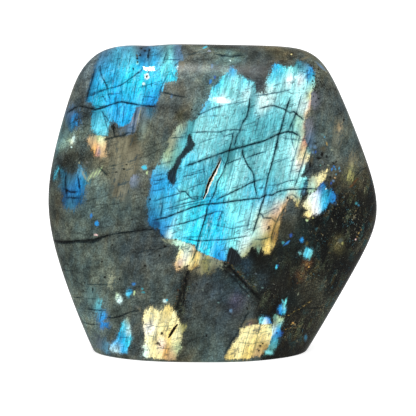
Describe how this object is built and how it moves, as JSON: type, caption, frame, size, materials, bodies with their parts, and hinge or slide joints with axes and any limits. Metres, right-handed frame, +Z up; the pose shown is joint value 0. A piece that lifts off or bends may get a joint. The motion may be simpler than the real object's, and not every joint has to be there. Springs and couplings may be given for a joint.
{
  "type": "polished labradorite freeform",
  "caption": "Standing freeform stone with bulging polished faces, a soft-cornered outline and a flat sawn base to rest on.",
  "frame": {"origin": "on the flat sawn base, in the middle of the stone's bounding box", "axes": "+Z up from the sawn base, +X along the width, and the show face looks along -Y"},
  "size_m": [0.13, 0.0514, 0.1226],
  "materials": {
    "labradorite": "polished"
  },
  "bodies": {
    "root": {"labradorite_stone": "labradorite"}
  },
  "joints": []
}
